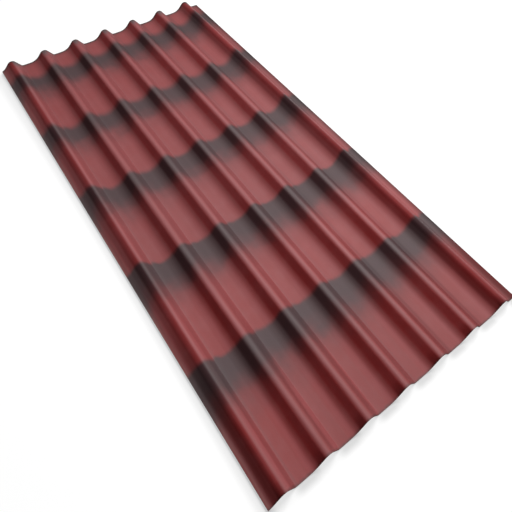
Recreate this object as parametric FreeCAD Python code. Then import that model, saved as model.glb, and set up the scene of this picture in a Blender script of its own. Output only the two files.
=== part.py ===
# A corrugated roofing sheet of bitumen-saturated fibre with a tile-shaped wave: one pressed sheet.
# It is modelled lying flat in millimetres: X down the roof's slope, Y across the waves, Z up. The
# origin is at the middle of the sheet on the plane it lies on. Left and right are as seen from the
# lower end, looking up the slope: the left edge is at the low Y.
import FreeCAD, Part
import math
import os

NODE = "roofing_sheet"

# The trimmed sheet
LENGTH = 1950.0
WIDTH = 960.0
THICKNESS = 3.0
LEFT_EDGE_TO_CREST = 46.5

# The wave, all measured on the weather face. Each ridge leans like a pantile's roll: its left flank
# runs out into the pan in a wide sweep, and its right flank drops steeply to a tight crease, beyond
# which the pan is a very shallow dish.
WAVE_HEIGHT = 40.0
CREST_RADIUS = 19.5
LEFT_FLANK_SLOPE = math.radians(50.0)
LEFT_FOOT_RADIUS = 52.0
RIGHT_FLANK_SLOPE = math.radians(54.0)
CREASE_RADIUS = 8.0
DISH_SLOPE = math.radians(6.0)
DISH_RADIUS = 160.0
PAN_LAND = 15.5


def fall(radius, slope):
    """Height lost along an arc from level to that slope."""
    return radius * (1 - math.cos(slope))


def reach(radius, slope):
    """Distance covered sideways along an arc from level to that slope."""
    return radius * math.sin(slope)


# How far each side of a ridge spreads, from the crest's middle to the level land of the pan. A flank
# is the straight between its arcs, so it takes the height that the arcs leave.
left_flank_fall = WAVE_HEIGHT - fall(CREST_RADIUS + LEFT_FOOT_RADIUS, LEFT_FLANK_SLOPE)
left_spread = (
    reach(CREST_RADIUS + LEFT_FOOT_RADIUS, LEFT_FLANK_SLOPE)
    + left_flank_fall / math.tan(LEFT_FLANK_SLOPE)
)
right_flank_fall = (
    WAVE_HEIGHT
    - fall(CREST_RADIUS + CREASE_RADIUS, RIGHT_FLANK_SLOPE)
    - fall(DISH_RADIUS - CREASE_RADIUS, DISH_SLOPE)
)
right_spread = (
    reach(CREST_RADIUS + CREASE_RADIUS, RIGHT_FLANK_SLOPE)
    + reach(DISH_RADIUS - CREASE_RADIUS, DISH_SLOPE)
    + right_flank_fall / math.tan(RIGHT_FLANK_SLOPE)
)
pitch = left_spread + PAN_LAND + right_spread

# Where the wave lies on the sheet
upper_end = -LENGTH / 2
left_edge = -WIDTH / 2
right_edge = WIDTH / 2
first_crest = left_edge + LEFT_EDGE_TO_CREST
ridge_count = 1 + int((right_edge - first_crest) // pitch)
pan_height = THICKNESS
crest_height = pan_height + WAVE_HEIGHT


def section_point(across, height):
    """A point of the sheet's section at the upper end."""
    return FreeCAD.Vector(upper_end, across, height)


def normal(slope):
    """Upward normal of the sheet where it rises to the right at that slope."""
    return FreeCAD.Vector(0, -math.sin(slope), math.cos(slope))


class Bend:
    """An arc of the section. Its radius is positive over a ridge and negative in a pan."""

    def __init__(self, centre, radius, start_slope, end_slope):
        self.centre = centre
        self.radius = radius
        self.start_slope = start_slope
        self.end_slope = end_slope

    def point(self, slope, depth):
        """The point at that slope, at a depth below the weather face."""
        return self.centre + normal(slope) * (self.radius - depth)

    def start(self, depth):
        return self.point(self.start_slope, depth)

    def end(self, depth):
        return self.point(self.end_slope, depth)

    def edge(self, depth):
        middle_slope = (self.start_slope + self.end_slope) / 2
        return Part.Arc(self.start(depth), self.point(middle_slope, depth), self.end(depth)).toShape()


def ridge_bends(crest):
    """The four bends of one ridge from left to right, with its crest at that place across."""
    foot_centre = section_point(crest - left_spread, pan_height + LEFT_FOOT_RADIUS)
    crest_centre = section_point(crest, crest_height - CREST_RADIUS)
    dish_centre = section_point(crest + right_spread, pan_height + DISH_RADIUS)
    # The crease and the dish meet where both have the dish's slope, so their centres share that line
    crease_centre = dish_centre - normal(-DISH_SLOPE) * (DISH_RADIUS - CREASE_RADIUS)
    return [
        Bend(foot_centre, -LEFT_FOOT_RADIUS, 0, LEFT_FLANK_SLOPE),
        Bend(crest_centre, CREST_RADIUS, LEFT_FLANK_SLOPE, -RIGHT_FLANK_SLOPE),
        Bend(crease_centre, -CREASE_RADIUS, -RIGHT_FLANK_SLOPE, -DISH_SLOPE),
        Bend(dish_centre, -DISH_RADIUS, -DISH_SLOPE, 0),
    ]


def face_line(bends, depth):
    """The edges of the section's line at one depth, from the first pan's land to the last's."""
    level = pan_height - depth
    start = section_point(min(left_edge, bends[0].centre.y) - PAN_LAND, level)
    end = section_point(max(right_edge, bends[-1].centre.y) + PAN_LAND, level)
    edges = []
    here = start
    for bend in bends:
        if here.distanceToPoint(bend.start(depth)) > Part.Precision.confusion():
            edges.append(Part.LineSegment(here, bend.start(depth)).toShape())
        edges.append(bend.edge(depth))
        here = bend.end(depth)
    edges.append(Part.LineSegment(here, end).toShape())
    return edges, start, end


def pressed_wave():
    """The waved board before trimming, with one ridge more than the sheet keeps."""
    bends = []
    for index in range(ridge_count + 1):
        bends += ridge_bends(first_crest + index * pitch)
    weather_face, top_start, top_end = face_line(bends, 0)
    under_face, under_start, under_end = face_line(bends, THICKNESS)
    ends = [
        Part.LineSegment(top_start, under_start).toShape(),
        Part.LineSegment(top_end, under_end).toShape(),
    ]
    outline = Part.Wire(Part.__sortEdges__(weather_face + under_face + ends))
    return Part.Face(outline).extrude(FreeCAD.Vector(LENGTH, 0, 0))


def roofing_sheet():
    """The board trimmed square to its width."""
    trim = Part.makeBox(LENGTH, WIDTH, crest_height, section_point(left_edge, 0))
    return pressed_wave().common(trim)


sheet = roofing_sheet().Solids[0]
os.makedirs("parts", exist_ok=True)
sheet.exportStep("parts/" + NODE + ".step")
print("pitch %.2f mm, ridges %d, volume %.0f cm3" % (pitch, ridge_count, sheet.Volume / 1000))
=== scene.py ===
# The looks of a corrugated roofing sheet of bitumen-saturated fibre: a pressed wave, matt red paint
# with charcoal bands sprayed across it, dark cut edges and a bare underside.
import math

import bpy
import numpy as np
from mathutils import Matrix, Vector, noise


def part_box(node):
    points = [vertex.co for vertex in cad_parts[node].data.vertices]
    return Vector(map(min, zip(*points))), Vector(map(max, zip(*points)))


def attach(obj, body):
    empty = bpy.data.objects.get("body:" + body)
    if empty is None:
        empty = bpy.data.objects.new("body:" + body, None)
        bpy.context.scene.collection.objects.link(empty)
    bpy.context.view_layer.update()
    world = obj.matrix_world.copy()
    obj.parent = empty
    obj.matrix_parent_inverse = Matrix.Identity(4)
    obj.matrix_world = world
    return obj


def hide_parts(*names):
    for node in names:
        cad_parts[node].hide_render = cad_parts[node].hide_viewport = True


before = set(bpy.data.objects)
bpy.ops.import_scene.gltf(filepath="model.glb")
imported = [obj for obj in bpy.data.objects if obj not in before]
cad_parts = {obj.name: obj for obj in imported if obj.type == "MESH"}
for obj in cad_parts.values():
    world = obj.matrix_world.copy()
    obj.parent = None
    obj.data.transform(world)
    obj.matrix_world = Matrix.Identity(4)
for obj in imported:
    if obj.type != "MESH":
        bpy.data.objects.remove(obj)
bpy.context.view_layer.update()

MM = 0.001
NODE = "roofing_sheet"

# The sheet's box is read from its part in model.glb: X runs down the roof's slope and Y across the
# waves. The wave has the sizes that its section is drawn with. Left and right are as seen from the
# lower end, looking up the slope.
sheet_low, sheet_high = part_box(NODE)
upper_end, lower_end = sheet_low.x, sheet_high.x
left_edge, right_edge = sheet_low.y, sheet_high.y
THICKNESS = 3 * MM
LEFT_EDGE_TO_CREST = 46.5 * MM
CREST_RADIUS = 19.5 * MM
LEFT_FLANK_SLOPE = math.radians(50)
LEFT_FOOT_RADIUS = 52 * MM
RIGHT_FLANK_SLOPE = math.radians(54)
CREASE_RADIUS = 8 * MM
DISH_SLOPE = math.radians(6)
DISH_RADIUS = 160 * MM
PAN_LAND = 15.5 * MM

pan_height = sheet_low.z + THICKNESS
crest_height = sheet_high.z
wave_height = crest_height - pan_height
first_crest = left_edge + LEFT_EDGE_TO_CREST


def fall(radius, slope):
    """Height lost along an arc from level to that slope."""
    return radius * (1 - math.cos(slope))


def reach(radius, slope):
    """Distance covered sideways along an arc from level to that slope."""
    return radius * math.sin(slope)


# How far each side of a ridge spreads, from the crest's middle to the level land of the pan
left_flank_fall = wave_height - fall(CREST_RADIUS + LEFT_FOOT_RADIUS, LEFT_FLANK_SLOPE)
left_spread = (
    reach(CREST_RADIUS + LEFT_FOOT_RADIUS, LEFT_FLANK_SLOPE)
    + left_flank_fall / math.tan(LEFT_FLANK_SLOPE)
)
right_flank_fall = (
    wave_height
    - fall(CREST_RADIUS + CREASE_RADIUS, RIGHT_FLANK_SLOPE)
    - fall(DISH_RADIUS - CREASE_RADIUS, DISH_SLOPE)
)
right_spread = (
    reach(CREST_RADIUS + CREASE_RADIUS, RIGHT_FLANK_SLOPE)
    + reach(DISH_RADIUS - CREASE_RADIUS, DISH_SLOPE)
    + right_flank_fall / math.tan(RIGHT_FLANK_SLOPE)
)
pitch = left_spread + PAN_LAND + right_spread
ridge_count = 1 + int((right_edge - first_crest) // pitch)

# The crease ends and the dish starts this far to the right of the crest
crease_place = right_spread - reach(DISH_RADIUS, DISH_SLOPE)

# How finely the section's arcs, its straights and the sheet's length are divided
FOOT_STEPS = 14
CREST_STEPS = 20
CREASE_STEPS = 8
DISH_STEPS = 4
STRAIGHT_STEPS = 3
ROWS = 116
SAME_PLACE = 0.01 * MM
SHARP_ANGLE = math.radians(40)

# The unevenness of the two faces, as depth, size and seed. Then the roughness of the cut edges: its
# depth, its size, and the loops of points that carry it, as share of the thickness and seed.
FACE_RELIEF = ((0.5 * MM, 75 * MM, 3), (0.25 * MM, 30 * MM, 7))
EDGE_DEPTH = 0.45 * MM
EDGE_SIZE = 5 * MM
EDGE_LOOPS = ((0.2, 11), (0.5, 13), (0.8, 17))

# The order of the sheet's materials
PAINTED, CUT, BARE = range(3)

# The painted bands, measured down the slope from the upper end. Each starts in a line, with a head
# kept free uphill of it for its soft start. The fade is given as points of (share of the spacing,
# charcoal left).
FIRST_BAND = 112 * MM
BAND_SPACING = 365.7 * MM
BAND_COUNT = 5
BAND_HEAD = 30 * MM
BAND_FADE = (
    (0, 1), (0.13, 1), (0.19, 0.95), (0.24, 0.84), (0.28, 0.70), (0.335, 0.49), (0.39, 0.28),
    (0.46, 0.13), (0.6, 0), (1, 0),
)

# Where the paint differs across each ridge, from its crest and negative on its left side
# The crest line below carries the painted highlight along each crest
CREST_LINE = -2 * MM
CREST_CAP = (-9 * MM, 10 * MM)
LEFT_FLANK = (-31 * MM, -10 * MM)
LEFT_FOOT = -49 * MM
LOWER_FOOT = -52 * MM
RIGHT_SHOULDER = (7 * MM, 15 * MM)

# Where it differs on the first ridge, from the left edge, and on the last one, from the right edge
FIRST_FLANK = (12 * MM, 30 * MM)
FIRST_SHOULDER = (30 * MM, 41 * MM)
FIRST_SIDE = (34 * MM, 51 * MM)
FIRST_CREST_SIDE = (54 * MM, 69 * MM)
FIRST_CORNER = (58 * MM, 170 * MM)
LAST_FLANK = (20 * MM, 60 * MM)
LAST_SIDE = (62 * MM, 84 * MM)
LAST_SHOULDER = (76 * MM, 98 * MM)

# The first and the last ridge are painted a little further to the right than the others. The shift
# dies out over a stretch from the left edge, and comes back over one from the right edge.
OUTER_SHIFT = 13 * MM
FIRST_RIDGE_END = (66 * MM, 108 * MM)
LAST_RIDGE_START = (90 * MM, 125 * MM)

# Stretches down the sheet over which more than one part of the paint changes, in millimetres from the
# upper end
LOWER_HALF = (1000, 1700)
BELOW_MIDDLE = (1200, 1500)
FIRST_FLANK_CHANGE = (1300, 1750)
LOWER_QUARTER = (1450, 1850)
LOWER_CORNER = (1500, 1800)
LOWER_EDGE = (1600, 1800)

# Paint and fibre colours, linear
RED = (0.262, 0.024, 0.024, 1)
# The pale red below is for random blotches and for painted sheen towards the upper end
RED_PALE = (0.276, 0.047, 0.049, 1)
# The pale red below is for painted highlights and painted sheen
RED_HIGHLIGHT = (0.330, 0.075, 0.079, 1)
CHARCOAL = (0.066, 0.030, 0.033, 1)
# The pale charcoal grey below is for painted highlights and painted sheen on the bands, and for the
# grey caps at the upper end
CHARCOAL_PALE = (0.118, 0.077, 0.078, 1)
# The pale red below is for the painted sheen along the left edge
RED_SHEEN = (0.320, 0.115, 0.110, 1)
BITUMEN = (0.022, 0.017, 0.015, 1)
FIBRE_DARK = (0.026, 0.019, 0.016, 1)
FIBRE_PALE = (0.075, 0.055, 0.046, 1)

# How matt and how reflecting they are, and the print of the mesh in the underside
PAINT_ROUGHNESS = 0.66
PAINT_REFLECTION = 0.84
PAINT_IOR = 1.55
FIBRE_ROUGHNESS = 0.85
FIBRE_IOR = 1.5
MESH_SPACING = 2.4 * MM

# The camera, as fitted to the sheet's outline in the photo, which is a crop
IMAGE_SIDE = 512
SENSOR = 36
FOCAL_PIXELS = 563.9
CENTRE_PIXEL = (279, 118)
CAMERA_AZIMUTH = math.radians(50.795)
CAMERA_ELEVATION = math.radians(44.585)
CAMERA_ROLL = math.radians(3.64)
CAMERA_DISTANCE = 2.3063
CAMERA_TARGET = Vector((-0.0871, 0.3425, 0))
CLIP_END = 100

# The light: a soft lamp high beyond the right edge, a dim room with one bright side high beyond the
# upper end, and a floor that looks white
LAMP_PLACE = Vector((-0.22, 1.58, 3.20))
LAMP_SIDE = 1.70
LAMP_SHARE = 0.98
ROOM_LEVEL = 0.02
BRIGHT_SIDE = Vector((-0.7, 0.1, 0.7)).normalized()
BRIGHT_LEVEL = 0.5
BRIGHT_FROM = 0.5
FLOOR_HALF = 12.0
FLOOR_ALBEDO = 0.30
FLOOR_GLOW = 0.80

# The shadow painted on the floor beside the sheet: how far away it starts and ends, and how deep it is
SHADE_START = 6 * MM
SHADE_END = 34 * MM
SHADE_DEPTH = 0.33


def section_normal(slope):
    """Upward normal of the section where it rises to the right at that slope."""
    return np.array([-math.sin(slope), math.cos(slope)])


def arc_stations(centre, radius, start_slope, end_slope, steps):
    """Points and slopes along an arc of the weather face. The radius is negative in a pan."""
    slopes = np.linspace(start_slope, end_slope, steps + 1)
    return [(np.array(centre) + section_normal(slope) * radius, slope) for slope in slopes]


def ridge_stations(crest):
    """The four arcs of one ridge, from the pan on its left to the pan on its right."""
    foot = (crest - left_spread, pan_height + LEFT_FOOT_RADIUS)
    top = (crest, crest_height - CREST_RADIUS)
    dish = (crest + right_spread, pan_height + DISH_RADIUS)
    crease = np.array(dish) - section_normal(-DISH_SLOPE) * (DISH_RADIUS - CREASE_RADIUS)
    return [
        arc_stations(foot, -LEFT_FOOT_RADIUS, 0, LEFT_FLANK_SLOPE, FOOT_STEPS),
        arc_stations(top, CREST_RADIUS, LEFT_FLANK_SLOPE, -RIGHT_FLANK_SLOPE, CREST_STEPS),
        arc_stations(crease, -CREASE_RADIUS, -RIGHT_FLANK_SLOPE, -DISH_SLOPE, CREASE_STEPS),
        arc_stations(dish, -DISH_RADIUS, -DISH_SLOPE, 0, DISH_STEPS),
    ]


def wave_stations():
    """Points and slopes over one ridge more than the sheet keeps, with the straights divided too."""
    stations = []
    for index in range(ridge_count + 1):
        for arc in ridge_stations(first_crest + index * pitch):
            if stations:
                start, slope = stations[-1]
                end = arc[0][0]
                if np.linalg.norm(end - start) < SAME_PLACE:
                    arc = arc[1:]
                else:
                    shares = np.linspace(0, 1, STRAIGHT_STEPS + 1)[1:-1]
                    stations += [(start + (end - start) * share, slope) for share in shares]
            stations += arc
    return stations


def trimmed(line):
    """Which points of a section line lie between the sheet's long edges, and where it meets them."""
    inside = (line[:, 0] > left_edge) & (line[:, 0] < right_edge)
    heights = np.interp([left_edge, right_edge], line[:, 0], line[:, 1])
    return inside, np.array([left_edge, heights[0]]), np.array([right_edge, heights[1]])


def section_lines():
    """The weather face and the underside as lines of points, each with its partner on the other."""
    stations = wave_stations()
    weather = np.array([point for point, slope in stations])
    under = np.array([point - section_normal(slope) * THICKNESS for point, slope in stations])
    weather_inside, weather_left, weather_right = trimmed(weather)
    under_inside, under_left, under_right = trimmed(under)
    both = weather_inside & under_inside
    weather = np.vstack([weather_left, weather[both], weather_right])
    under = np.vstack([under_left, under[both], under_right])
    return weather, under


def rough(points, size, seed):
    """Smooth noise from 0 to 1 at each point, with features of about that size."""
    shift = Vector((seed, 2 * seed, 3 * seed))
    return np.array([0.5 + 0.5 * noise.noise(Vector(point) / size + shift) for point in points])


def sheet_surface(line, sign):
    """One face of the sheet as a grid of points: rows from the upper end, columns across the waves.
    Its relief only goes inwards, by a few tenths of a millimetre."""
    grid = np.zeros((ROWS, len(line), 3))
    grid[:, :, 0] = np.linspace(upper_end, lower_end, ROWS)[:, None]
    grid[:, :, 1:] = line
    tangent = np.gradient(line, axis=0)
    tangent /= np.linalg.norm(tangent, axis=1)[:, None]
    inward = np.stack([np.zeros(len(line)), tangent[:, 1], -tangent[:, 0]], -1) * sign
    depth = sum(deep * rough(grid.reshape(-1, 3), size, seed) for deep, size, seed in FACE_RELIEF)
    moved = grid + inward[None] * depth.reshape(ROWS, -1)[:, :, None]
    moved[:, [0, -1], 1] = grid[:, [0, -1], 1]
    return moved.reshape(-1, 3)


def grid_perimeter(columns):
    """The numbers of the grid's points along its four edges, once round."""
    left = [(row, 0) for row in range(ROWS - 1)]
    lower = [(ROWS - 1, column) for column in range(columns - 1)]
    right = [(row, columns - 1) for row in range(ROWS - 1, 0, -1)]
    upper = [(0, column) for column in range(columns - 1, 0, -1)]
    return np.array([row * columns + column for row, column in left + lower + right + upper])


def grid_quads(columns):
    """The quads of a grid of points, facing up."""
    corners = [row * columns + column for row in range(ROWS - 1) for column in range(columns - 1)]
    return [(first, first + columns, first + columns + 1, first + 1) for first in corners]


def edge_loop(top, bottom, share, seed):
    """A loop of points round the cut edge, between the rims of the two faces, roughly drawn in."""
    points = top * (1 - share) + bottom * share
    inset = EDGE_DEPTH * rough(points, EDGE_SIZE, seed)
    points[:, 0] = np.clip(points[:, 0], upper_end + inset, lower_end - inset)
    points[:, 1] = np.clip(points[:, 1], left_edge + inset, right_edge - inset)
    return points


def strip_quads(above, below):
    """The quads between two loops of point numbers, facing out."""
    next_above, next_below = np.roll(above, -1), np.roll(below, -1)
    return np.stack([next_above, above, below, next_below], -1).tolist()


def sheet_mesh():
    """The closed mesh of the sheet: its two faces and the rough strips of its cut edges."""
    weather, under = (sheet_surface(line, sign) for line, sign in zip(section_lines(), (1, -1)))
    count = len(weather)
    columns = count // ROWS
    ring = grid_perimeter(columns)
    middles = [edge_loop(weather[ring], under[ring], share, seed) for share, seed in EDGE_LOOPS]
    numbers = 2 * count + np.arange(len(middles) * len(ring)).reshape(len(middles), -1)
    loops = [ring, *numbers, count + ring]

    top_quads = grid_quads(columns)
    under_quads = [tuple(count + corner for corner in reversed(quad)) for quad in top_quads]
    edge_quads = [quad for above, below in zip(loops, loops[1:]) for quad in strip_quads(above, below)]
    faces = top_quads + under_quads + edge_quads
    materials = [PAINTED] * len(top_quads) + [BARE] * len(under_quads) + [CUT] * len(edge_quads)

    mesh = bpy.data.meshes.new("roofing_sheet_skin")
    mesh.from_pydata(np.vstack([weather, under, *middles]).tolist(), [], faces)
    mesh.polygons.foreach_set("material_index", materials)
    mesh.polygons.foreach_set("use_smooth", [True] * len(faces))
    mesh.update()
    mesh.set_sharp_from_angle(angle=SHARP_ANGLE)
    return mesh


class Tree:
    """A node tree with short calls for the nodes that the materials here are made of."""

    def __init__(self, owner):
        owner.use_nodes = True
        self.nodes = owner.node_tree.nodes
        self.links = owner.node_tree.links
        self.nodes.clear()

    def set(self, socket, value):
        if isinstance(value, bpy.types.NodeSocket):
            self.links.new(value, socket)
        else:
            socket.default_value = value

    def node(self, kind, inputs=(), output=0, **settings):
        """Adds a node, fills its named or numbered inputs and gives back one of its outputs."""
        made = self.nodes.new(kind)
        for name, value in settings.items():
            setattr(made, name, value)
        for name, value in dict(inputs).items():
            self.set(made.inputs[name], value)
        return made.outputs[output] if made.outputs else made

    def math(self, operation, *values):
        """A number worked out from one to three others."""
        return self.node("ShaderNodeMath", dict(enumerate(values)), operation=operation)

    def fold(self, operation, values):
        """The first value joined to each of the others in turn."""
        result = values[0]
        for value in values[1:]:
            result = self.math(operation, result, value)
        return result

    def total(self, *values):
        return self.fold("ADD", values)

    def times(self, *values):
        return self.fold("MULTIPLY", values)

    def most(self, *values):
        return self.fold("MAXIMUM", values)

    def minus(self, value, less):
        return self.math("SUBTRACT", value, less)

    def ramp(self, value, slope, start):
        """A straight ramp, which is at its start where the value is 0."""
        return self.math("MULTIPLY_ADD", value, slope, start)

    def mix(self, share, first, second):
        """A colour that goes from the first to the second as the share goes from 0 to 1."""
        made = self.nodes.new("ShaderNodeMix")
        made.data_type = "RGBA"
        self.set(made.inputs["Factor"], share)
        for name, value in (("A", first), ("B", second)):
            socket = [s for s in made.inputs if s.name == name and s.type == "RGBA"][0]
            self.set(socket, value)
        return [s for s in made.outputs if s.type == "RGBA"][0]

    def mix_value(self, share, first, second):
        """A number that goes from the first to the second as the share goes from 0 to 1."""
        return self.total(first, self.times(share, self.minus(second, first)))

    def smooth(self, value, low, high, start=0.0, end=1.0):
        """A soft step from start to end as the value goes from low to high."""
        return self.node(
            "ShaderNodeMapRange",
            {"Value": value, "From Min": low, "From Max": high, "To Min": start, "To Max": end},
            interpolation_type="SMOOTHSTEP",
        )

    def near(self, value, line, spread):
        """1 on the line, falling softly to 0 at the spread on either side of it."""
        return self.smooth(self.math("ABSOLUTE", self.minus(value, line)), 0, spread, 1.0, 0.0)

    def between(self, value, limits, blur):
        """1 between the two limits, with soft sides as wide as the blur."""
        low, high = limits
        above = self.smooth(value, low - blur / 2, low + blur / 2)
        return self.times(above, self.smooth(value, high - blur / 2, high + blur / 2, 1.0, 0.0))

    def weaken(self, level, losses):
        """The level less its losses, each a pair of a share and how much it takes there. What it
        takes is negative for a gain."""
        for share, loss in losses:
            level = self.times(level, self.minus(1.0, self.times(share, loss)))
        return level

    def curve(self, value, points):
        """A soft curve through points of (value, result), from left to right."""
        made = self.nodes.new("ShaderNodeFloatCurve")
        made.mapping.use_clip = False
        line = made.mapping.curves[0]
        for index in (0, -1):
            line.points[index].location = points[index]
        for point in points[1:-1]:
            line.points.new(*point)
        made.mapping.update()
        self.set(made.inputs["Value"], value)
        return made.outputs[0]

    def noise(self, place, size, detail, roughness=0.55, stretch=(1, 1, 1)):
        """Noise from 0 to 1 with features of about that size, longer along an axis by its stretch."""
        scaled = self.node(
            "ShaderNodeVectorMath",
            {0: place, 1: tuple(1 / (size * longer) for longer in stretch)},
            operation="MULTIPLY",
        )
        return self.node(
            "ShaderNodeTexNoise",
            {"Vector": scaled, "Scale": 1.0, "Detail": detail, "Roughness": roughness},
        )

    def plan(self, place):
        """The X and Y of a place."""
        made = self.nodes.new("ShaderNodeSeparateXYZ")
        self.set(made.inputs[0], place)
        return made.outputs["X"], made.outputs["Y"]

    def seen_by(self, *rays):
        """1 for these kinds of ray, and 0 for all others."""
        path = self.nodes.new("ShaderNodeLightPath")
        return self.most(*(path.outputs[kind] for kind in rays))

    def board(self, look, height, relief, strength):
        """Ends the tree with a shader of that look, under a relief that deep in metres."""
        bump = self.node("ShaderNodeBump", {"Height": height, "Distance": relief, "Strength": strength})
        shader = self.node("ShaderNodeBsdfPrincipled", {**look, "Normal": bump})
        self.node("ShaderNodeOutputMaterial", {"Surface": shader})


def from_crest(tree, y):
    """How far a place lies across from the crest of its ridge, negative to its left."""
    within = tree.math("FLOORED_MODULO", tree.minus(y, first_crest - left_spread), pitch)
    return tree.minus(within, left_spread)


class SheetPlaces:
    """Where a point of the weather face lies on the sheet, and the parts of the wave on which the
    paint differs, each as a share from 0 to 1."""

    def __init__(self, tree):
        self.tree = tree
        self.place = tree.node("ShaderNodeTexCoord", output="Object")
        x, self.y = tree.plan(self.place)
        self.along = tree.minus(x, upper_end)
        self.from_lower = tree.minus(lower_end, x)
        self.from_left = tree.minus(self.y, left_edge)
        self.from_right = tree.minus(right_edge, self.y)
        first_shift = tree.smooth(self.from_left, *FIRST_RIDGE_END, OUTER_SHIFT, 0.0)
        last_shift = tree.smooth(self.from_right, *LAST_RIDGE_START, OUTER_SHIFT, 0.0)
        self.across = tree.minus(from_crest(tree, self.y), tree.total(first_shift, last_shift))
        self.right_half = tree.smooth(self.y, 0, 200 * MM)
        self.left_flank = tree.between(self.across, LEFT_FLANK, 9 * MM)
        self.right_flank, self.open_flank = self.right_flank_shares()
        self.outer_crest_side, self.outer_shoulder = self.outer_ridge_shares()
        self.first_flank = tree.between(self.from_left, FIRST_FLANK, 10 * MM)
        first_crest_side = tree.between(self.from_left, FIRST_CREST_SIDE, 10 * MM)
        self.first_crest_side = tree.times(first_crest_side, self.down(1200, 1700))
        first_corner = tree.between(self.from_left, FIRST_CORNER, 24 * MM)
        self.lower_corner = tree.times(first_corner, self.down(*LOWER_CORNER))
        last_flank = tree.between(self.from_right, LAST_FLANK, 10 * MM)
        self.last_flank = tree.times(last_flank, tree.near(self.along, 1420 * MM, 350 * MM))

    def down(self, start, end, first=0.0, last=1.0):
        """A soft step from the first to the last value, down the slope. Its start and end are in
        millimetres from the upper end."""
        return self.tree.smooth(self.along, start * MM, end * MM, first, last)

    def right_flank_shares(self):
        """The shaded part of the right flanks and their creases, which reaches further into the pan
        towards the right edge, and the part left open. The last ridge has none on the lower half."""
        tree = self.tree
        narrowed = tree.smooth(self.from_left, 110 * MM, 150 * MM)
        narrowing = tree.times(self.down(*LOWER_QUARTER, 0.0, -22 * MM), narrowed)
        further = tree.mix_value(tree.smooth(self.y, -350 * MM, 200 * MM), narrowing, 10 * MM)
        past_crease = tree.minus(self.across, crease_place)
        whole = tree.smooth(past_crease, -10 * MM, 3 * MM, 1.0, 0.0)
        reached = tree.smooth(tree.minus(past_crease, further), -4 * MM, 5 * MM, 1.0, 0.0)
        kept = tree.most(tree.smooth(self.from_right, 58 * MM, 72 * MM), self.down(800, 1400, 1.0, 0.0))
        start = tree.smooth(self.across, *RIGHT_SHOULDER)
        left_open = tree.most(tree.minus(whole, reached), 0.0)
        return tree.times(start, reached, kept), tree.times(start, left_open)

    def outer_ridge_shares(self):
        """The left sides of the first and the last crest, and the shoulders below them."""
        tree = self.tree
        first_side = tree.between(self.from_left, FIRST_SIDE, 14 * MM)
        last_side = tree.between(self.from_right, LAST_SIDE, 14 * MM)
        first_shoulder = tree.between(self.from_left, FIRST_SHOULDER, 8 * MM)
        last_shoulder = tree.between(self.from_right, LAST_SHOULDER, 10 * MM)
        side = tree.times(tree.most(first_side, last_side), self.down(400, 600, 0.68, 1.0))
        shoulder = tree.most(
            tree.times(first_shoulder, self.down(*LOWER_CORNER)),
            tree.times(last_shoulder, self.down(300, 1700, 0.5, 1.0)),
        )
        return side, shoulder


def band_lead(at):
    """How far uphill of its even line a band starts: further beside the creases and towards the two
    long edges, where it bows with the sheet's length."""
    tree = at.tree
    beside_crease = tree.times(tree.near(at.across, crease_place + 2 * MM, 19 * MM), 7 * MM)
    left_bow = tree.mix_value(tree.near(at.along, 780 * MM, 1100 * MM), 3 * MM, 21 * MM)
    left_lead = tree.times(tree.smooth(at.from_left, 75 * MM, 115 * MM, 1.0, 0.0), left_bow)
    right_bow = tree.mix_value(tree.near(at.along, 450 * MM, 1300 * MM), 12 * MM, 34 * MM)
    right_lead = tree.times(tree.smooth(at.from_right, 20 * MM, 150 * MM, 1.0, 0.0), right_bow)
    wobble = tree.ramp(tree.noise(at.place, 30 * MM, 2), 8 * MM, -3 * MM)
    return tree.total(beside_crease, left_lead, right_lead, wobble)


def band_share(at):
    """How much charcoal lies on the red, from 0 to 1: each band starts in a line on its uphill side,
    softer towards the upper end, and fades out down the slope."""
    tree = at.tree
    past_first = tree.total(tree.minus(at.along, FIRST_BAND - BAND_HEAD), band_lead(at))
    past_line = tree.minus(tree.math("FLOORED_MODULO", past_first, BAND_SPACING), BAND_HEAD)
    softness = at.down(100, 1300, 28 * MM, 10 * MM)
    rise = tree.smooth(tree.math("DIVIDE", past_line, softness), -1.0, 1.0)
    fade_wobble = tree.ramp(tree.noise(at.place, 75 * MM, 2), 90 * MM, -45 * MM)
    edge_lag = tree.smooth(at.from_left, 0, 26 * MM, 28 * MM, 0.0)
    past_fade = tree.total(past_line, tree.minus(fade_wobble, edge_lag))
    fade = tree.curve(tree.math("DIVIDE", past_fade, BAND_SPACING), BAND_FADE)
    bands_end = FIRST_BAND + BAND_COUNT * BAND_SPACING - 2 * BAND_HEAD
    return tree.times(rise, fade, tree.math("LESS_THAN", at.along, bands_end))


def painted_highlight_share(at, charcoal, streak):
    """Where highlights and sheen are painted in as paler paint: along the crests, along the left feet,
    on the right flanks and beside the first crest."""
    tree = at.tree
    crest = tree.times(
        tree.near(at.across, CREST_LINE, 13 * MM),
        tree.smooth(streak, 0.2, 0.6, 0.6, 1.0),
        at.down(1600, 1850, 0.95, 0.76),
    )
    foot = tree.times(tree.near(at.across, LEFT_FOOT, 15 * MM), at.down(1200, 1600, 0.25, 0.55))
    flank = tree.total(tree.times(at.right_flank, 0.25), tree.times(at.open_flank, 0.65))
    outer = tree.most(tree.times(at.last_flank, 0.4), tree.times(at.first_crest_side, 0.9))
    return tree.times(tree.most(crest, foot, flank, outer), tree.smooth(charcoal, 0, 1, 1.0, 0.6))


def left_edge_sheen_share(at, streak):
    """A paler, greyer strip along the left edge, painted in as sheen."""
    tree = at.tree
    beside_edge = tree.smooth(at.from_left, 2 * MM, 20 * MM, 0.9, 0.0)
    return tree.times(beside_edge, tree.smooth(streak, 0.35, 0.65, 0.4, 1.0))


def cap_share(at):
    """The grey caps of the crests at the upper end."""
    return at.tree.times(at.tree.between(at.across, CREST_CAP, 10 * MM), at.down(14, 55, 0.85, 0.0))


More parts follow.
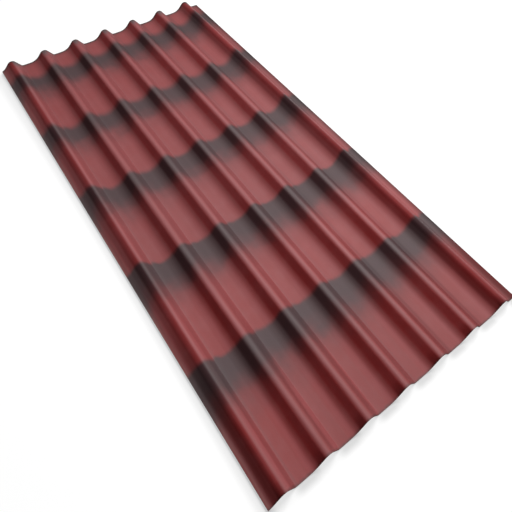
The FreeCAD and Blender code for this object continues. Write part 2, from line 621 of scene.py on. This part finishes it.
def rim_share(at):
    """The dark rim along the cut ends, uneven, and wider at the upper end."""
    tree = at.tree
    uneven = tree.ramp(tree.noise(at.place, 14 * MM, 3), -10 * MM, 5 * MM)
    upper = tree.smooth(tree.total(at.along, uneven), 4 * MM, 11 * MM, 0.85, 0.0)
    lower = tree.smooth(tree.total(at.from_lower, uneven), 0, 8 * MM, 0.5, 0.0)
    return tree.most(upper, at.down(8, 28, 0.25, 0.0), lower)


def grain_and_painted_shading(at, charcoal, streak, fibre):
    """How light the paint is: its grain, times painted shade and painted light on parts of the ridges,
    on a stretch down the slope and along the right edge.
    """
    tree = at.tree
    grain = tree.times(tree.ramp(streak, 0.16, 0.92), tree.ramp(fibre, 0.24, 0.88))
    # Painted shade on the right flanks, deeper towards both ends
    flank_shade = tree.total(at.down(*LOWER_QUARTER, 0.11, 0.17), at.down(150, 400, 0.07, 0.0))
    lower_foot = tree.times(tree.near(at.across, LOWER_FOOT, 20 * MM), at.down(1600, 1780))
    # A stretch of painted light down the slope
    painted_light_pool = tree.near(at.along, 1480 * MM, 260 * MM)
    # Each part below gets painted shade, or painted light where what it takes is negative
    grain_and_shading = tree.weaken(grain, (
        (at.right_flank, tree.times(flank_shade, tree.ramp(at.right_half, 0.5, 1.0))),
        (at.open_flank, -0.03),
        (at.left_flank, tree.smooth(charcoal, 0, 1, -0.19, -0.02)),
        (at.left_flank, at.down(1905, 1950, 0.0, 0.35)),
        (at.first_flank, at.down(*FIRST_FLANK_CHANGE, -0.52, 0.15)),
        (at.outer_crest_side, at.down(*BELOW_MIDDLE, 0.42, 0.26)),
        (at.outer_shoulder, at.down(*LOWER_CORNER, 0.18, 0.26)),
        (at.lower_corner, -0.10),
        (lower_foot, -0.14),
        (painted_light_pool, -0.09),
        (tree.times(painted_light_pool, at.left_flank), 0.13),
    ))
    # Painted shade along the right edge, wider towards the lower end
    from_edge = tree.minus(at.from_right, at.down(*LOWER_EDGE, 0.0, 14 * MM))
    return tree.times(grain_and_shading, tree.smooth(from_edge, 0, 22 * MM, 0.5, 1.0))


def paint_reflection(at, charcoal):
    """How much the paint reflects: least on the left flanks and along the right edge."""
    tree = at.tree
    beside_edge = tree.smooth(at.from_right, 14 * MM, 30 * MM, 1.0, 0.0)
    left_flank_loss = tree.most(at.down(*LOWER_HALF, 0.84, 0.70), at.down(1880, 1930, 0.0, 0.85))
    reflection = tree.weaken(PAINT_REFLECTION, (
        (charcoal, 0.11),
        (at.left_flank, left_flank_loss),
        (at.left_flank, tree.times(charcoal, 0.45)),
        (at.first_flank, at.down(*FIRST_FLANK_CHANGE, 0.1, 0.75)),
        (at.outer_crest_side, at.down(*BELOW_MIDDLE, 0.75, 0.3)),
        (at.outer_shoulder, 0.65),
        (at.right_flank, tree.times(at.right_half, at.down(900, 1800, 0.0, 0.3))),
        (tree.times(beside_edge, at.down(*LOWER_EDGE)), 0.5),
    ))
    return tree.times(reflection, tree.smooth(at.from_right, 0, 22 * MM, 0.6, 1.0))


def paint_material():
    """Matt red paint with charcoal bands, on a fibrous board, with painted highlights, painted sheen
    and painted shade.
    """
    material = bpy.data.materials.new("painted_fibre")
    at = SheetPlaces(Tree(material))
    tree = at.tree
    charcoal = band_share(at)
    blotch = tree.noise(at.place, 55 * MM, 3)
    streak = tree.noise(at.place, 7 * MM, 3, stretch=(22, 1, 1))
    fibre = tree.noise(at.place, 2.2 * MM, 4, 0.65, stretch=(1.6, 1, 1))

    # Paler red in random blotches, and paler towards the upper end as painted sheen
    blotches_and_sheen = tree.total(tree.smooth(blotch, 0.35, 0.75, 0.0, 0.5), at.down(*LOWER_HALF, 0.7, 0.0))
    # Paler paint for painted highlights and sheen, on the red and on the charcoal
    highlight_colour = tree.mix(charcoal, RED_HIGHLIGHT, CHARCOAL_PALE)
    # A paler, greyer strip of painted sheen along the left edge
    left_edge_sheen_colour = tree.mix(charcoal, RED_SHEEN, CHARCOAL_PALE)
    colour = tree.mix(charcoal, tree.mix(blotches_and_sheen, RED, RED_PALE), CHARCOAL)
    colour = tree.mix(painted_highlight_share(at, charcoal, streak), colour, highlight_colour)
    colour = tree.mix(left_edge_sheen_share(at, streak), colour, left_edge_sheen_colour)
    colour = tree.mix(cap_share(at), colour, CHARCOAL_PALE)
    colour = tree.mix(rim_share(at), colour, BITUMEN)
    # Painted light and shade, on top of the grain
    grain_and_shading = grain_and_painted_shading(at, charcoal, streak, fibre)
    look = {
        "Base Color": tree.node("ShaderNodeVectorMath", {0: colour, "Scale": grain_and_shading}, operation="SCALE"),
        "Roughness": tree.ramp(fibre, 0.12, PAINT_ROUGHNESS),
        "IOR": PAINT_IOR,
        "Specular IOR Level": paint_reflection(at, charcoal),
    }
    height = tree.total(tree.times(fibre, 0.35), tree.noise(at.place, 9 * MM, 2))
    tree.board(look, height, 0.25 * MM, 0.7)
    return material


def cut_edge_material():
    """The sawn edge: layers of dark fibre soaked in bitumen."""
    material = bpy.data.materials.new("cut_fibre_edge")
    tree = Tree(material)
    place = tree.node("ShaderNodeTexCoord", output="Object")
    layer = tree.noise(place, 0.6 * MM, 3, stretch=(6, 6, 1))
    height = tree.times(layer, tree.noise(place, 1.4 * MM, 4, 0.7))
    colour = tree.mix(tree.smooth(height, 0.12, 0.42), BITUMEN, FIBRE_PALE)
    look = {"Base Color": colour, "Roughness": FIBRE_ROUGHNESS, "IOR": FIBRE_IOR}
    tree.board(look, height, 0.4 * MM, 0.8)
    return material


def underside_material():
    """The bare underside, with the print of the mesh that the wet board lay on."""
    material = bpy.data.materials.new("bare_bitumen_fibre")
    tree = Tree(material)
    place = tree.node("ShaderNodeTexCoord", output="Object")
    blotch = tree.noise(place, 45 * MM, 4)
    grain = tree.noise(place, 1.6 * MM, 4, 0.7)
    colour = tree.mix(tree.smooth(blotch, 0.3, 0.75), BITUMEN, FIBRE_DARK)
    colour = tree.mix(tree.smooth(grain, 0.5, 0.9, 0.0, 0.5), colour, FIBRE_PALE)
    turn = 2 * math.pi / MESH_SPACING
    wires = [tree.math("SINE", tree.times(axis, turn)) for axis in tree.plan(place)]
    height = tree.total(tree.times(tree.most(*wires), 0.25), grain)
    look = {"Base Color": colour, "Roughness": FIBRE_ROUGHNESS, "IOR": FIBRE_IOR}
    tree.board(look, height, 0.3 * MM, 0.7)
    return material


def roofing_sheet():
    """The one piece, with its three materials."""
    mesh = sheet_mesh()
    for material in (paint_material(), cut_edge_material(), underside_material()):
        mesh.materials.append(material)
    piece = bpy.data.objects.new("roofing_sheet_skin", mesh)
    bpy.context.scene.collection.objects.link(piece)
    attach(piece, "root")
    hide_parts(NODE)


def painted_floor_shadow(tree):
    """A soft shadow painted on the floor along the lower end's pans and, fainter, along the left edge.
    """
    x, y = tree.plan(tree.node("ShaderNodeTexCoord", output="Object"))
    beyond = tree.most(tree.minus(x, lower_end), 0.0)
    left_of = tree.most(tree.minus(left_edge, y), 0.0)
    left_of = tree.times(left_of, tree.smooth(x, upper_end, 200 * MM, 0.50, 0.92))
    away = tree.math("SQRT", tree.total(tree.times(beyond, beyond), tree.times(left_of, left_of)))
    under_pan = tree.smooth(tree.math("ABSOLUTE", from_crest(tree, y)), 20 * MM, 55 * MM, 0.2, 1.0)
    return tree.times(
        tree.smooth(away, SHADE_START, SHADE_END, SHADE_DEPTH, 0.0),
        under_pan,
        tree.smooth(left_of, 0, 10 * MM, 1.0, 0.55),
        tree.smooth(x, upper_end - 10 * MM, upper_end + 20 * MM),
        tree.smooth(y, right_edge - 20 * MM, right_edge + 10 * MM, 1.0, 0.0),
    )


def floor():
    """A white floor that keeps the sheet's shadow, with a shadow painted into its glow beside the
    sheet. Its glow is for the camera and for reflections.
    """
    mesh = bpy.data.meshes.new("studio_floor")
    corners = [(-1, -1), (1, -1), (1, 1), (-1, 1)]
    mesh.from_pydata([(x * FLOOR_HALF, y * FLOOR_HALF, 0) for x, y in corners], [], [(0, 1, 2, 3)])
    material = bpy.data.materials.new("studio_floor")
    tree = Tree(material)
    seen = tree.seen_by("Is Camera Ray", "Is Glossy Ray", "Is Transmission Ray")
    # The glow, less a shadow painted beside the sheet
    glow_level = tree.times(seen, tree.minus(FLOOR_GLOW, painted_floor_shadow(tree)))
    matt = tree.node("ShaderNodeBsdfDiffuse", {"Color": (FLOOR_ALBEDO,) * 3 + (1,)})
    glow = tree.node("ShaderNodeEmission", {"Strength": glow_level})
    surface = tree.node("ShaderNodeAddShader", {0: matt, 1: glow})
    tree.node("ShaderNodeOutputMaterial", {"Surface": surface})
    mesh.materials.append(material)
    plane = bpy.data.objects.new("studio_floor", mesh)
    bpy.context.scene.collection.objects.link(plane)


def room():
    """A white room to the camera, of which the sheet gets little light except from its bright side."""
    world = bpy.data.worlds.new("studio")
    bpy.context.scene.world = world
    tree = Tree(world)
    direction = tree.node("ShaderNodeTexCoord", output="Generated")
    towards = tree.node(
        "ShaderNodeVectorMath", {0: direction, 1: BRIGHT_SIDE}, output="Value", operation="DOT_PRODUCT"
    )
    bright = tree.most(tree.minus(towards, BRIGHT_FROM), 0.0)
    seen = tree.seen_by("Is Camera Ray", "Is Transmission Ray")
    strength = tree.most(seen, tree.ramp(bright, BRIGHT_LEVEL, ROOM_LEVEL))
    background = tree.node("ShaderNodeBackground", {"Strength": strength})
    tree.node("ShaderNodeOutputWorld", {"Surface": background})


def key_lamp():
    """One large soft lamp, strong enough to give a level surface its share of full light."""
    distance = LAMP_PLACE.length
    data = bpy.data.lights.new("key_lamp", "AREA")
    data.shape = "SQUARE"
    data.size = LAMP_SIDE
    data.energy = LAMP_SHARE * math.pi ** 2 * distance ** 2 / (LAMP_PLACE.z / distance)
    lamp = bpy.data.objects.new("key_lamp", data)
    lamp.location = LAMP_PLACE
    lamp.rotation_euler = LAMP_PLACE.to_track_quat("Z", "Y").to_euler()
    bpy.context.scene.collection.objects.link(lamp)


def camera():
    """The photo's camera, aimed at a point on the floor. Its shift makes up for the photo's crop."""
    data = bpy.data.cameras.new("camera")
    data.sensor_width = SENSOR
    data.lens = FOCAL_PIXELS / IMAGE_SIDE * SENSOR
    data.shift_x = (IMAGE_SIDE / 2 - CENTRE_PIXEL[0]) / IMAGE_SIDE
    data.shift_y = (CENTRE_PIXEL[1] - IMAGE_SIDE / 2) / IMAGE_SIDE
    data.clip_end = CLIP_END
    back = Vector((
        math.sin(CAMERA_AZIMUTH) * math.cos(CAMERA_ELEVATION),
        -math.cos(CAMERA_AZIMUTH) * math.cos(CAMERA_ELEVATION),
        math.sin(CAMERA_ELEVATION),
    ))
    right = Vector((0, 0, 1)).cross(back).normalized()
    turn = Matrix((right, back.cross(right), back)).transposed() @ Matrix.Rotation(CAMERA_ROLL, 3, "Z")
    seen_from = bpy.data.objects.new("camera", data)
    seen_from.matrix_world = Matrix.Translation(CAMERA_TARGET + back * CAMERA_DISTANCE) @ turn.to_4x4()
    bpy.context.scene.collection.objects.link(seen_from)
    bpy.context.scene.camera = seen_from


roofing_sheet()
floor()
room()
key_lamp()
camera()
bpy.context.scene.view_settings.view_transform = "Standard"
